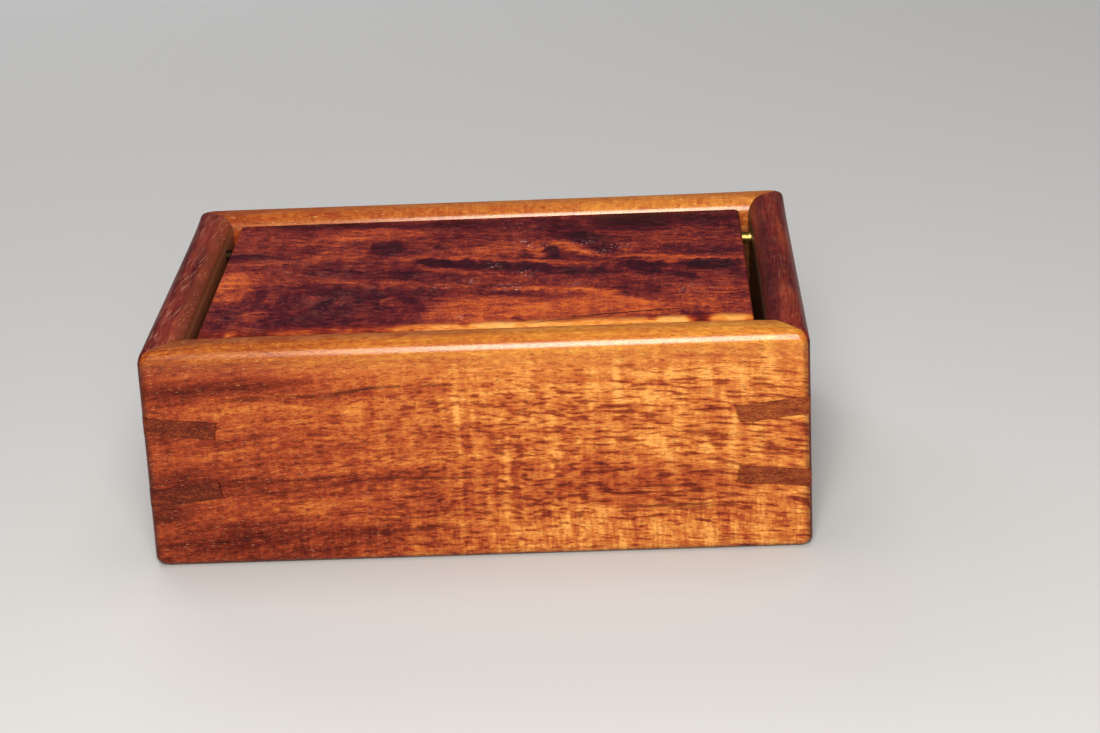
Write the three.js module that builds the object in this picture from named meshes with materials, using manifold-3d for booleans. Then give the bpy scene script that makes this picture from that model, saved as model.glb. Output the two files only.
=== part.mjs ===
// A wooden keepsake box in millimetres, +Z up, +X to the right and -Y to the front.
// The origin is the middle of the underside. Four boards with a rounded rim are mitred at the corners and locked
// by slanting keys. The bottom board lies in a groove. The lid lies inside the rim and turns on two brass pins:
// pressing its back edge down lifts its front edge.
import * as THREE from "three";
import { mergeVertices } from "three/addons/utils/BufferGeometryUtils.js";
import Module from "manifold-3d";

const wasm = await Module();
wasm.setup();

// The case: four walls of one thickness
const caseLength = 177.8;
const caseDepth = 127;
const caseHeight = 63.5;
const wallThickness = 11.1;
const rimRound = 5.5; // on the outer and the inner edge of the rim
const footRound = 2.8; // on the outer edge of the underside
const cornerRound = 2; // on the upright outer corners
const mitreGlue = 0.1; // the glue line between two walls

// The bottom board and its groove
const bottomThickness = 6.35;
const bottomRise = 4.8; // from the ground to the groove
const grooveDepth = 5.5;
const grooveEndPlay = 0.6; // room for the board to swell
const groovePlay = 0.15; // above and below the board

// The lid
const lidThickness = 7.9;
const lidDrop = 3.1; // from the top of the rim to the top of the lid
const lidEndGap = 2.9; // at the left and right end
const lidSideGap = 1; // along the front and the back
const lidCornerRound = 1.2;
const lidEdgeRound = 0.7;

// The hinge pins
const pinDiameter = 3.2;
const pinSetback = 15.9; // from the back edge of the lid to the axis
const pinInWall = 7.6;
const pinInLid = 12.7;
const pinPlay = 0.08; // round the pin in its holes
const pinEndPlay = 0.4; // between the pin's end and the bottom of its hole
const pinChamfer = 0.4;

// The strip that stops the lid when it is level
const stripWidth = 6.4;
const stripHeight = 6.4;
const stripChamfer = 1;
const stripEndGap = 0.3;
const stripGlue = 0.1;
const lidSeatGap = 0.2;

// The corner keys
const keyThickness = 4.76;
const keyDepth = 13.8; // from the corner inwards, along the key
const keyTilt = THREE.MathUtils.degToRad(8);
const upperKeyDrop = 22.3; // from the top of the rim to the middle of an upper key at the corner
const lowerKeyRise = 20.3; // from the ground to the middle of a lower key at the corner
const keyGlue = 0.1; // between a key and its slot, on each side

// One overrun for every cut, and the number of steps in the round shapes
const overrun = 5;
const rimSteps = 10;
const edgeSteps = 5;
const lidEdgeSteps = 3;
const pinSides = 32;

// Sizes that follow
const quarterTurn = Math.PI / 2;
const eighthTurn = Math.PI / 4;
const rimRadius = Math.min(rimRound, wallThickness / 2);
const innerLength = caseLength - 2 * wallThickness;
const innerDepth = caseDepth - 2 * wallThickness;
const lidLength = innerLength - 2 * lidEndGap;
const lidWidth = innerDepth - 2 * lidSideGap;
const lidTop = caseHeight - lidDrop;
const pinHeight = lidTop - lidThickness / 2;
const pinPlace = lidWidth / 2 - pinSetback; // back from the middle of the box
const pinRadius = pinDiameter / 2;
const pinHoleRadius = (pinRadius + pinPlay) / Math.cos(Math.PI / pinSides);
const upperKeyHeight = caseHeight - upperKeyDrop;

// Looks of the materials
const frontWood = new THREE.MeshStandardMaterial({ color: 0xb8682c, roughness: 0.35, metalness: 0 });
const endWood = new THREE.MeshStandardMaterial({ color: 0x7a3a26, roughness: 0.35, metalness: 0 });
const lidWood = new THREE.MeshStandardMaterial({ color: 0x6e2c1c, roughness: 0.25, metalness: 0 });
const keyWood = new THREE.MeshStandardMaterial({ color: 0x7d4a24, roughness: 0.5, metalness: 0 });
const innerWood = new THREE.MeshStandardMaterial({ color: 0x9c6236, roughness: 0.55, metalness: 0 });
const brass = new THREE.MeshStandardMaterial({ color: 0xd9b45a, roughness: 0.25, metalness: 1 });

// A closed geometry as a solid that can be cut and joined.
function toSolid(geometry) {
  geometry.deleteAttribute("normal");
  geometry.deleteAttribute("uv");
  const merged = mergeVertices(geometry);
  return new wasm.Manifold(
    new wasm.Mesh({
      numProp: 3,
      vertProperties: merged.getAttribute("position").array,
      triVerts: new Uint32Array(merged.index.array),
    }),
  );
}

// A solid back as a geometry.
function toGeometry(solid) {
  const mesh = solid.getMesh();
  const geometry = new THREE.BufferGeometry();
  geometry.setAttribute("position", new THREE.BufferAttribute(mesh.vertProperties, 3));
  geometry.setIndex(new THREE.BufferAttribute(mesh.triVerts, 1));
  geometry.computeVertexNormals();
  return geometry;
}

function namedMesh(name, geometry, material) {
  const mesh = new THREE.Mesh(geometry, material);
  mesh.name = name;
  return mesh;
}

// An outline drawn in inward and upward steps, extruded along X and centred there.
// The outline's first coordinate becomes +Y and its second +Z.
function alongX(outline, length, curveSegments) {
  const geometry = new THREE.ExtrudeGeometry(outline, { depth: length, bevelEnabled: false, curveSegments });
  geometry.translate(0, 0, -length / 2);
  geometry.rotateY(quarterTurn);
  geometry.rotateX(quarterTurn);
  return geometry;
}

// An outline in X and Y, extruded upwards from z = 0.
function upwards(outline, height, curveSegments) {
  return new THREE.ExtrudeGeometry(outline, { depth: height, bevelEnabled: false, curveSegments });
}

// A rectangle round the origin with four round corners.
function roundedRectangle(length, width, radius) {
  const x = length / 2 - radius;
  const y = width / 2 - radius;
  const shape = new THREE.Shape();
  shape.absarc(x, y, radius, 0, quarterTurn);
  shape.absarc(-x, y, radius, quarterTurn, 2 * quarterTurn);
  shape.absarc(-x, -y, radius, 2 * quarterTurn, 3 * quarterTurn);
  shape.absarc(x, -y, radius, 3 * quarterTurn, 4 * quarterTurn);
  shape.closePath();
  return shape;
}

// The section of a wall: its outer face is at 0, its inner face at the wall's thickness.
function wallSection() {
  const grooveFloor = wallThickness - grooveDepth;
  const grooveLow = bottomRise - groovePlay;
  const grooveHigh = bottomRise + bottomThickness + groovePlay;
  const rimCentre = caseHeight - rimRadius;
  const section = new THREE.Shape();
  section.absarc(footRound, footRound, footRound, 3 * quarterTurn, 2 * quarterTurn, true);
  section.absarc(rimRadius, rimCentre, rimRadius, 2 * quarterTurn, quarterTurn, true);
  section.absarc(wallThickness - rimRadius, rimCentre, rimRadius, quarterTurn, 0, true);
  section.lineTo(wallThickness, grooveHigh);
  section.lineTo(grooveFloor, grooveHigh);
  section.lineTo(grooveFloor, grooveLow);
  section.lineTo(wallThickness, grooveLow);
  section.lineTo(wallThickness, 0);
  section.closePath();
  return section;
}

// The plan of a wall between its two mitres, each drawn back by half the glue line.
function wallPlan(length) {
  const back = mitreGlue / 2 / Math.sin(eighthTurn);
  const outer = length / 2 - back;
  const inner = outer - wallThickness - overrun;
  const plan = new THREE.Shape();
  plan.moveTo(-outer, 0);
  plan.lineTo(outer, 0);
  plan.lineTo(inner, wallThickness + overrun);
  plan.lineTo(-inner, wallThickness + overrun);
  plan.closePath();
  return plan;
}

// A slanting slab that starts outside a corner and runs inwards along +X. A positive tilt makes it fall inwards.
function keySlab(depth, thickness, tilt) {
  const slab = new THREE.BoxGeometry(depth + overrun, 4 * keyDepth, thickness);
  slab.translate((depth - overrun) / 2, 0, 0);
  slab.rotateY(tilt);
  return slab;
}

// The slot for a key, at one end of a wall. Side is 1 for the end at +X and -1 for the end at -X.
function keySlot(length, side, tilt, height) {
  const slot = keySlab(keyDepth + keyGlue, keyThickness + 2 * keyGlue, tilt);
  slot.rotateZ(side > 0 ? 3 * eighthTurn : eighthTurn);
  slot.translate((side * length) / 2, 0, height);
  return toSolid(slot);
}

// A round hole along X, from one place to another.
function holeAlongX(radius, from, to) {
  const hole = new THREE.CylinderGeometry(radius, radius, to - from, pinSides);
  hole.rotateZ(quarterTurn);
  hole.translate((from + to) / 2, 0, 0);
  return hole;
}

// A wall in its own frame: its length along X, its outer face on y = 0 and its inner face towards +Y.
function wallSolid(length, overallWidth) {
  const bar = toSolid(alongX(wallSection(), length, rimSteps));
  const plan = toSolid(upwards(wallPlan(length), caseHeight, edgeSteps));
  const footprint = upwards(roundedRectangle(length, overallWidth, cornerRound), caseHeight, edgeSteps);
  footprint.translate(0, overallWidth / 2, 0);
  let wall = bar.intersect(plan).intersect(toSolid(footprint));
  for (const side of [1, -1]) {
    wall = wall.subtract(keySlot(length, side, keyTilt, upperKeyHeight));
    wall = wall.subtract(keySlot(length, side, -keyTilt, lowerKeyRise));
  }
  return wall;
}

// An end wall has the blind hole for a pin. Side is 1 for the right wall and -1 for the left one.
function endWallSolid(side) {
  const hole = holeAlongX(pinHoleRadius, -pinInWall - pinEndPlay, overrun);
  hole.rotateZ(quarterTurn);
  hole.translate(side * pinPlace, wallThickness, pinHeight);
  return wallSolid(caseDepth, caseLength).subtract(toSolid(hole));
}

// A key in its own frame: the corner's edge on the Z axis, the inside of the box towards +X.
function keyGeometry(tilt) {
  const reach = 2 * keyDepth;
  const tip = cornerRound / Math.cos(eighthTurn);
  const corner = new THREE.Shape();
  corner.absarc(tip, 0, cornerRound, 3 * eighthTurn, 5 * eighthTurn);
  corner.lineTo(reach, -reach);
  corner.lineTo(reach, reach);
  corner.closePath();
  const prism = upwards(corner, 4 * keyDepth, edgeSteps);
  prism.translate(0, 0, -2 * keyDepth);
  return toGeometry(toSolid(keySlab(keyDepth, keyThickness, tilt)).intersect(toSolid(prism)));
}

function lidGeometry() {
  const outline = roundedRectangle(
    lidLength - 2 * lidEdgeRound,
    lidWidth - 2 * lidEdgeRound,
    lidCornerRound - lidEdgeRound,
  );
  const board = new THREE.ExtrudeGeometry(outline, {
    depth: lidThickness - 2 * lidEdgeRound,
    curveSegments: edgeSteps,
    bevelThickness: lidEdgeRound,
    bevelSize: lidEdgeRound,
    bevelSegments: lidEdgeSteps,
  });
  board.translate(0, 0, lidEdgeRound - lidThickness);
  let lid = toSolid(board);
  const holeBottom = lidLength / 2 - pinInLid - pinEndPlay;
  for (const side of [1, -1]) {
    const hole = holeAlongX(pinHoleRadius, holeBottom, lidLength / 2 + overrun);
    hole.rotateZ(side > 0 ? 0 : 2 * quarterTurn);
    hole.translate(0, pinPlace, pinHeight - lidTop);
    lid = lid.subtract(toSolid(hole));
  }
  return toGeometry(lid);
}

// A pin with chamfered ends, lying along X round the origin.
function pinGeometry() {
  const half = (pinInWall + lidEndGap + pinInLid) / 2;
  const profile = [
    new THREE.Vector2(0, -half),
    new THREE.Vector2(pinRadius - pinChamfer, -half),
    new THREE.Vector2(pinRadius, pinChamfer - half),
    new THREE.Vector2(pinRadius, half - pinChamfer),
    new THREE.Vector2(pinRadius - pinChamfer, half),
    new THREE.Vector2(0, half),
  ];
  const pin = new THREE.LatheGeometry(profile, pinSides);
  pin.rotateZ(quarterTurn);
  return pin;
}

// The strip's section starts at the wall that it is glued to. Its free upper edge is chamfered.
function stripGeometry() {
  const section = new THREE.Shape();
  section.moveTo(0, 0);
  section.lineTo(stripWidth, 0);
  section.lineTo(stripWidth, stripHeight - stripChamfer);
  section.lineTo(stripWidth - stripChamfer, stripHeight);
  section.lineTo(0, stripHeight);
  section.closePath();
  return alongX(section, innerLength - 2 * stripEndGap, edgeSteps);
}

// Assembly
const box = new THREE.Group();
const caseGroup = new THREE.Group();
const lidGroup = new THREE.Group();
box.add(caseGroup, lidGroup);

const longWall = toGeometry(wallSolid(caseLength, caseDepth));
const frontWall = namedMesh("front_wall", longWall, frontWood);
frontWall.position.set(0, -caseDepth / 2, 0);
const backWall = namedMesh("back_wall", longWall, frontWood);
backWall.position.set(0, caseDepth / 2, 0);
backWall.rotation.z = 2 * quarterTurn;

const leftWall = namedMesh("left_wall", toGeometry(endWallSolid(-1)), endWood);
leftWall.position.set(-caseLength / 2, 0, 0);
leftWall.rotation.z = -quarterTurn;
const rightWall = namedMesh("right_wall", toGeometry(endWallSolid(1)), endWood);
rightWall.position.set(caseLength / 2, 0, 0);
rightWall.rotation.z = quarterTurn;

const bottomBoard = namedMesh(
  "bottom_board",
  new THREE.BoxGeometry(
    innerLength + 2 * (grooveDepth - grooveEndPlay),
    innerDepth + 2 * (grooveDepth - grooveEndPlay),
    bottomThickness,
  ),
  innerWood,
);
bottomBoard.position.set(0, 0, bottomRise + bottomThickness / 2);

const strip = namedMesh("lid_rest_strip", stripGeometry(), innerWood);
strip.position.set(0, stripGlue - innerDepth / 2, lidTop - lidThickness - lidSeatGap - stripHeight);
caseGroup.add(frontWall, backWall, leftWall, rightWall, bottomBoard, strip);

// Each pin reaches from its wall across the gap into the lid.
const pinMiddle = (innerLength / 2 + pinInWall + lidLength / 2 - pinInLid) / 2;
for (const [name, side] of [["left", -1], ["right", 1]]) {
  const pin = namedMesh(name + "_hinge_pin", pinGeometry(), brass);
  pin.position.set(side * pinMiddle, pinPlace, pinHeight);
  caseGroup.add(pin);
}

// Two keys at each corner: both slope towards the middle of the height as they go inwards.
const keyKinds = [
  ["upper", upperKeyHeight, keyGeometry(keyTilt)],
  ["lower", lowerKeyRise, keyGeometry(-keyTilt)],
];
const corners = [
  ["front_left", -1, -1],
  ["front_right", 1, -1],
  ["back_right", 1, 1],
  ["back_left", -1, 1],
];
corners.forEach(([corner, sideX, sideY], turns) => {
  for (const [kind, height, geometry] of keyKinds) {
    const key = namedMesh("key_" + corner + "_" + kind, geometry, keyWood);
    key.position.set((sideX * caseLength) / 2, (sideY * caseDepth) / 2, height);
    key.rotation.z = eighthTurn + turns * quarterTurn;
    caseGroup.add(key);
  }
});

const lid = namedMesh("lid", lidGeometry(), lidWood);
lidGroup.position.set(0, 0, lidTop);
lidGroup.add(lid);

export default box;
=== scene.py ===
import math

import bmesh
import bpy
from mathutils import Matrix, Vector


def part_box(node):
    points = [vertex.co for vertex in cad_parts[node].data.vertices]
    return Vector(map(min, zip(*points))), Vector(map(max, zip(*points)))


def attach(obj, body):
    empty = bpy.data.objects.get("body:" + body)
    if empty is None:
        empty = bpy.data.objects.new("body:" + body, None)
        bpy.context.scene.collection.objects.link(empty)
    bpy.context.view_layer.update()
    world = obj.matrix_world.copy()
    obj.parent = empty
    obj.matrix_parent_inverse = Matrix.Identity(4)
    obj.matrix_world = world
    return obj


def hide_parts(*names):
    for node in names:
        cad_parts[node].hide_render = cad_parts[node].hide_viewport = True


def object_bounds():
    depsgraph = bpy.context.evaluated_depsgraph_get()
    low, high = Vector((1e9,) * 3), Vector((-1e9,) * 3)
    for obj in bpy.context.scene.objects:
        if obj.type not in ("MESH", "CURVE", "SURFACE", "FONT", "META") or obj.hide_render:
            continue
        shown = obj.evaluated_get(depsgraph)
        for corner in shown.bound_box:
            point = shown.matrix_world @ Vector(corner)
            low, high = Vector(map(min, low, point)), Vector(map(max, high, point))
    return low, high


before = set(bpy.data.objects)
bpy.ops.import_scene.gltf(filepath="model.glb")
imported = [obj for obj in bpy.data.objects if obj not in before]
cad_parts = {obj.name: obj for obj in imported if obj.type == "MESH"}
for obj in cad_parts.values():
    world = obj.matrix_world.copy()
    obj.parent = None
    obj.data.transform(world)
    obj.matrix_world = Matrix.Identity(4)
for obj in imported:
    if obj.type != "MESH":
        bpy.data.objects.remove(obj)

# A wooden keepsake box: mitred walls of curly golden wood with darker ends, slanting corner keys, an
# inset lid of dark streaked wood and brass hinge pins.
# Metres, +Z up, -Y to the front, the origin at the middle of the underside.

MM = 0.001
CAD_LOW, CAD_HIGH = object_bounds()
LENGTH, DEPTH, HEIGHT = CAD_HIGH - CAD_LOW

# Walls
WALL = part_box("left_wall")[1].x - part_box("left_wall")[0].x
RIM_ROUND = 5.5 * MM
FOOT_ROUND = 2.8 * MM
CORNER_ROUND = 1.6 * MM
CORNER_SANDING = 1.6 * MM  # what sanding adds to a corner's radius at the rim and at the foot
RIM_SANDING_REACH = 1.3 * RIM_ROUND  # how far below the rim it starts
FOOT_SANDING_REACH = 1.5 * FOOT_ROUND  # how far above the foot it ends
CORNER_FADE = 1.8 * RIM_ROUND  # the inset from the outer face at which a sanded corner is sharp again
RIM_FLAT = 0.25 * MM  # what sanding took off the whole rim
# What sanding took off more at the corners: front left, front right, back right, back left
RIM_DROOP = (2 * MM, 2 * MM, 0.5 * MM, 1.1 * MM)
DROOP_LENGTH = 11 * MM  # over this length along a wall it falls to about a third
DROOP_BLEND = 0.5 * MM  # how softly the sanded level cuts the rim
# How much squarer the rim's outer round is at the same corners
RIM_SQUARE = (0, 0, 0.9, 0.7)
SQUARE_LENGTH = 13 * MM  # over this length along a wall it falls to about a third
SQUARE_POWER = 0.42  # 1 leaves the round as it is
MITRE_GAP = 0.04 * MM  # the glue line at each mitre
BOARD_LOW, BOARD_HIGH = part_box("bottom_board")
GROOVE_PLAY = 0.15 * MM
GROOVE_END_PLAY = 0.6 * MM
QUARTER_STEPS = 16  # faces in a quarter of a round edge
RUN_STEPS = 40  # faces along a wall
RIM_TURN = 0.8  # how fast the figure goes on over the rim, against the way in

# Corner keys
KEY_THICKNESS = 4.76 * MM
KEY_DEPTH = 13.8 * MM
KEY_TILT = math.radians(8)
KEY_GLUE = 0.09 * MM  # the glue line above and below a key
KEY_END_GLUE = 0.35 * MM  # the glue line at its inner end
KEY_HEIGHTS = {"upper": HEIGHT - 22.3 * MM, "lower": 20.3 * MM}

# Lid and pins
LID_LOW, LID_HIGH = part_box("lid")
LID_CORNER_ROUND = 2 * MM
LEAST_ROUND = 1 / 4  # the share of a board's corner round that is left under its eased edges
LID_EDGE_ROUND = 0.7 * MM
PIN_LOW, PIN_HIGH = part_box("right_hinge_pin")
PIN_RADIUS = (PIN_HIGH.z - PIN_LOW.z) / 2
PIN_CHAMFER = 0.4 * MM
PIN_PLAY = 0.08 * MM
PIN_SIDES = 48
STRIP_LOW, STRIP_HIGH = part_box("lid_rest_strip")
STRIP_CHAMFER = 1 * MM
BOARD_EDGE_ROUND = 0.4 * MM

# Shading
CREASE = math.radians(32)  # edges sharper than this stay sharp
FACE_WEIGHT = 100  # how far large faces bend the shading of the small ones beside them

# The photograph's camera: its place, where it heads, and its lens on a sensor 36 mm wide
CAMERA_PLACE = Vector((46.13, -754.01, 309.93)) * MM
CAMERA_AZIMUTH = math.radians(-2.134)
CAMERA_DIP = math.radians(20.291)
CAMERA_ROLL = math.radians(-2.685)
CAMERA_SENSOR = 36
CAMERA_LENS = 91.61
CAMERA_NEAR = 10 * MM

# Light: a broad softbox in front with a brighter middle, one overhead, a weak one behind, and dim
# surroundings
KEY_LIGHT = Vector((45, -924, 579)) * MM
KEY_LIGHT_SIZE = (420 * MM, 570 * MM)
KEY_LIGHT_POWER = 12
BRIGHT_MIDDLE = Vector((15, -924, 579)) * MM
BRIGHT_MIDDLE_SIZE = (210 * MM, 400 * MM)
BRIGHT_MIDDLE_POWER = 6.4
KEY_LIGHT_COLOUR = (1, 0.95, 0.87)
TOP_LIGHT = Vector((0, 100, 1800)) * MM
TOP_LIGHT_SIZE = (1600 * MM, 1400 * MM)
TOP_LIGHT_POWER = 17
BACK_LIGHT = Vector((-500, 1300, 700)) * MM
BACK_LIGHT_SIZE = (900 * MM, 700 * MM)
BACK_LIGHT_POWER = 9
SURROUNDINGS = 0.07
FLOOR_HALF = 3
FLOOR_COLOUR = (0.46, 0.46, 0.465, 1)
FLOOR_ROUGHNESS = 0.9


# Meshes

def add_object(name, data):
    """A new object in the scene."""
    thing = bpy.data.objects.new(name, data)
    bpy.context.scene.collection.objects.link(thing)
    return thing


def make_piece(node, mesh, body, material):
    """Adds a mesh as a piece that rides on a body and stands for a CAD node."""
    piece = add_object(node + "_shaped", mesh)
    mesh.name = piece.name
    mesh.materials.clear()
    mesh.materials.append(material)
    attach(piece, body)
    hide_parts(node)


def mesh_of(points, faces):
    """A mesh from points and faces, with every face turned outwards."""
    mesh = bpy.data.meshes.new("mesh")
    mesh.from_pydata([tuple(p) for p in points], [], faces)
    work = bmesh.new()
    work.from_mesh(mesh)
    bmesh.ops.recalc_face_normals(work, faces=work.faces)
    work.to_mesh(mesh)
    work.free()
    return mesh


def skin(rings):
    """A closed mesh over rings of equally many points, with a face on the first and the last ring."""
    count = len(rings[0])
    points = [point for ring in rings for point in ring]
    last = len(points) - count
    faces = [tuple(range(count)), tuple(range(last, last + count))]
    for start in range(0, last, count):
        for i in range(count):
            after = (i + 1) % count
            faces.append((start + i, start + after, start + count + after, start + count + i))
    return mesh_of(points, faces)


def with_modifiers(thing):
    """An object's mesh as its modifiers leave it."""
    evaluated = thing.evaluated_get(bpy.context.evaluated_depsgraph_get())
    return bpy.data.meshes.new_from_object(evaluated)


def cut(mesh, cutters):
    """The mesh less the cutters."""
    body = add_object("body", mesh)
    tools = [add_object("tool", cutter) for cutter in cutters]
    for tool in tools:
        difference = body.modifiers.new("cut", "BOOLEAN")
        difference.operation = "DIFFERENCE"
        difference.solver = "EXACT"
        difference.object = tool
    result = with_modifiers(body)
    for used in [body, *tools]:
        bpy.data.objects.remove(used)
    return result


def smooth(mesh):
    """Smooth shading with sharp creases, and large flat faces that stay flat."""
    mesh.shade_smooth()
    mesh.set_sharp_from_angle(angle=CREASE)
    holder = add_object("holder", mesh)
    weighted = holder.modifiers.new("normals", "WEIGHTED_NORMAL")
    weighted.weight = FACE_WEIGHT
    weighted.keep_sharp = True
    result = with_modifiers(holder)
    bpy.data.objects.remove(holder)
    return result


def arc(centre, radius, start, end, steps):
    """Points on an arc, both ends included. The angles are in quarter turns."""
    points = []
    for i in range(steps + 1):
        angle = (start + (end - start) * i / steps) * math.pi / 2
        points.append((centre[0] + radius * math.cos(angle), centre[1] + radius * math.sin(angle)))
    return points


def wall_section():
    """The section of a wall as (inset, height), round its outline from the foot."""
    groove_floor = WALL - (BOARD_HIGH.x - (LENGTH / 2 - WALL)) - GROOVE_END_PLAY
    groove_low = BOARD_LOW.z - GROOVE_PLAY
    groove_high = BOARD_HIGH.z + GROOVE_PLAY
    rim = HEIGHT - RIM_ROUND
    section = arc((FOOT_ROUND, FOOT_ROUND), FOOT_ROUND, 3, 2, QUARTER_STEPS)
    section += arc((RIM_ROUND, rim), RIM_ROUND, 2, 1, QUARTER_STEPS)
    section += arc((WALL - RIM_ROUND, rim), RIM_ROUND, 1, 0, QUARTER_STEPS)
    section += [(WALL, groove_high), (groove_floor, groove_high)]
    section += [(groove_floor, groove_low), (WALL, groove_low), (WALL, 0)]
    return section


def corner_radius(inset, height):
    """The radius of the upright corner, which grows at the rim and at the foot and ends inside the rim."""
    rim = (height - (HEIGHT - RIM_SANDING_REACH)) / RIM_ROUND
    foot = 1 - height / FOOT_SANDING_REACH
    sanding = CORNER_SANDING * min(1, max(0, rim, foot))
    return (CORNER_ROUND + sanding) * max(0, 1 - inset / CORNER_FADE)


def sanded(height, along, half, ends):
    """The height of a point of the rim after sanding, which took more off near the wall's two corners."""
    level = HEIGHT - RIM_FLAT
    for side, end in zip((-1, 1), ends):
        level -= RIM_DROOP[end] * math.exp(-(half - side * along) / DROOP_LENGTH)
    return (height + level - math.hypot(height - level, DROOP_BLEND)) / 2


def squarer(inset, height, along, half, ends):
    """How far a point of the rim's outer round moves out and up. Near a corner the round is squarer."""
    low = HEIGHT - RIM_ROUND
    if height <= low or inset >= RIM_ROUND:
        return 0, 0
    share = 0
    for side, end in zip((-1, 1), ends):
        share += RIM_SQUARE[end] * math.exp(-(half - side * along) / SQUARE_LENGTH)
    parts = (1 - inset / RIM_ROUND, (height - low) / RIM_ROUND)
    return [share * RIM_ROUND * (part ** SQUARE_POWER - part) for part in parts]


def wall_run(inset, height, half):
    """The line that a point of the section follows, from one mitre to the other.
    Each point is (along, inset, turn), the last one the way that its corner faces."""
    radius = corner_radius(inset, height)
    centre = half - inset - radius
    end = []
    for i in range(QUARTER_STEPS // 2 + 1):
        turn = math.pi / 4 * i / (QUARTER_STEPS // 2)
        if radius > 0:
            end.append((centre + radius * math.sin(turn), inset + radius * (1 - math.cos(turn)), turn))
        else:
            end.append((half - inset - CORNER_ROUND * (1 - math.sin(2 * turn)), inset, turn))
    end[-1] = (end[-1][0] - MITRE_GAP / math.sqrt(2), end[-1][1], end[-1][2])
    start = [(-along, across, -turn) for along, across, turn in reversed(end)]
    first, last = start[-1][0], end[0][0]
    middle = [(first + (last - first) * i / RUN_STEPS, inset, 0) for i in range(1, RUN_STEPS)]
    return start + middle + end


def wall_mesh(turns, half, out):
    """A mitred wall. It is drawn as the front wall and turned by quarter turns.
    Half is half its length, and out is how far its outer face is from the middle of the box."""
    ends = (turns, (turns + 1) % 4)
    turn = Matrix.Rotation(turns * math.pi / 2, 4, "Z")
    lines = []
    for inset, height in wall_section():
        line = []
        for along, across, facing in wall_run(inset, height, half):
            outwards, upwards = squarer(inset, height, along, half, ends)
            x = along + outwards * math.sin(facing)
            y = across - out - outwards * math.cos(facing)
            z = height + upwards
            if height > HEIGHT - RIM_ROUND:
                z = sanded(z, along, half, ends)
            line.append(turn @ Vector((x, y, z)))
        lines.append(line)
    return skin(list(zip(*lines)))


def corner_frame(side_x, side_y, height):
    """The frame of a key: its origin on the corner's edge, X towards the middle of the box."""
    place = Matrix.Translation((side_x * LENGTH / 2, side_y * DEPTH / 2, height))
    return place @ Matrix.Rotation(math.atan2(-side_y, -side_x), 4, "Z")


def key_slab(place, tilt):
    """The cutter for a key's slot, which comes out of the box on both sides of the corner."""
    half_width = 2 * KEY_DEPTH
    half = KEY_THICKNESS / 2 + KEY_GLUE
    leaning = place @ Matrix.Rotation(tilt, 4, "Y")
    rings = []
    for x in (-KEY_DEPTH / 2, KEY_DEPTH + KEY_END_GLUE):
        corners = [(-half_width, -half), (half_width, -half), (half_width, half), (-half_width, half)]
        rings.append([leaning @ Vector((x, y, z)) for y, z in corners])
    return skin(rings)


def key_mesh(place, tilt):
    """A key: a slanting plate that ends flush with both outer faces and with the round corner."""
    half = KEY_THICKNESS / 2
    tip = arc((CORNER_ROUND * math.sqrt(2), 0), CORNER_ROUND, 1.5, 2.5, QUARTER_STEPS)
    rings = []
    for side in (1, -1):
        end = KEY_DEPTH * math.cos(tilt) + side * half * math.sin(tilt)
        middle = side * half / math.cos(tilt)
        outline = [(end, end), *tip, (end, -end)]
        rings.append([place @ Vector((x, y, middle - x * math.tan(tilt))) for x, y in outline])
    return skin(rings)


def rounded_outline(half_x, half_y, radius):
    """A rectangle with round corners, round the origin."""
    x = half_x - radius
    y = half_y - radius
    outline = []
    for turn, (side_x, side_y) in enumerate(((1, 1), (-1, 1), (-1, -1), (1, -1))):
        outline += arc((side_x * x, side_y * y), radius, turn, turn + 1, QUARTER_STEPS // 2)
    return outline


def slab_mesh(low, high, corner, edge):
    """A board with round corners and eased edges."""
    centre = (low + high) / 2
    half_x, half_y, half_z = (high - low) / 2
    steps = QUARTER_STEPS // 2
    levels = arc((-edge, edge - half_z), edge, 3, 4, steps)
    levels += arc((-edge, half_z - edge), edge, 0, 1, steps)
    rings = []
    for inset, z in levels:
        radius = max(corner + inset, corner * LEAST_ROUND)
        outline = rounded_outline(half_x + inset, half_y + inset, radius)
        rings.append([centre + Vector((x, y, z)) for x, y in outline])
    return skin(rings)


def round_bar(low_x, high_x, y, z, radius):
    """A bar along X with chamfered ends."""
    profile = [(low_x, radius - PIN_CHAMFER), (low_x + PIN_CHAMFER, radius)]
    profile += [(high_x - PIN_CHAMFER, radius), (high_x, radius - PIN_CHAMFER)]
    turns = [2 * math.pi * i / PIN_SIDES for i in range(PIN_SIDES)]
    rings = [[(x, y + r * math.cos(turn), z + r * math.sin(turn)) for turn in turns] for x, r in profile]
    return skin(rings)


def strip_mesh():
    """The strip under the lid's front edge, with a chamfer on its free upper edge."""
    _, y0, z0 = STRIP_LOW
    _, y1, z1 = STRIP_HIGH
    section = [(y0, z0), (y1, z0), (y1, z1 - STRIP_CHAMFER), (y1 - STRIP_CHAMFER, z1), (y0, z1)]
    return skin([[(x, y, z) for y, z in section] for x in (STRIP_LOW.x, STRIP_HIGH.x)])


# Materials

def linear(colour):
    """A screen colour such as 0xC08040 as linear red, green and blue."""
    parts = [(colour >> shift & 255) / 255 for shift in (16, 8, 0)]
    return [p / 12.92 if p <= 0.04045 else ((p + 0.055) / 1.055) ** 2.4 for p in parts]


def tint(colour):
    """A screen colour with an alpha, for a colour socket."""
    return (*linear(colour), 1)


def put(socket, value):
    """Feeds a socket from a field, or sets it to a constant."""
    if isinstance(value, Field):
        socket.id_data.links.new(value.socket, socket)
    else:
        socket.default_value = value


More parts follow.
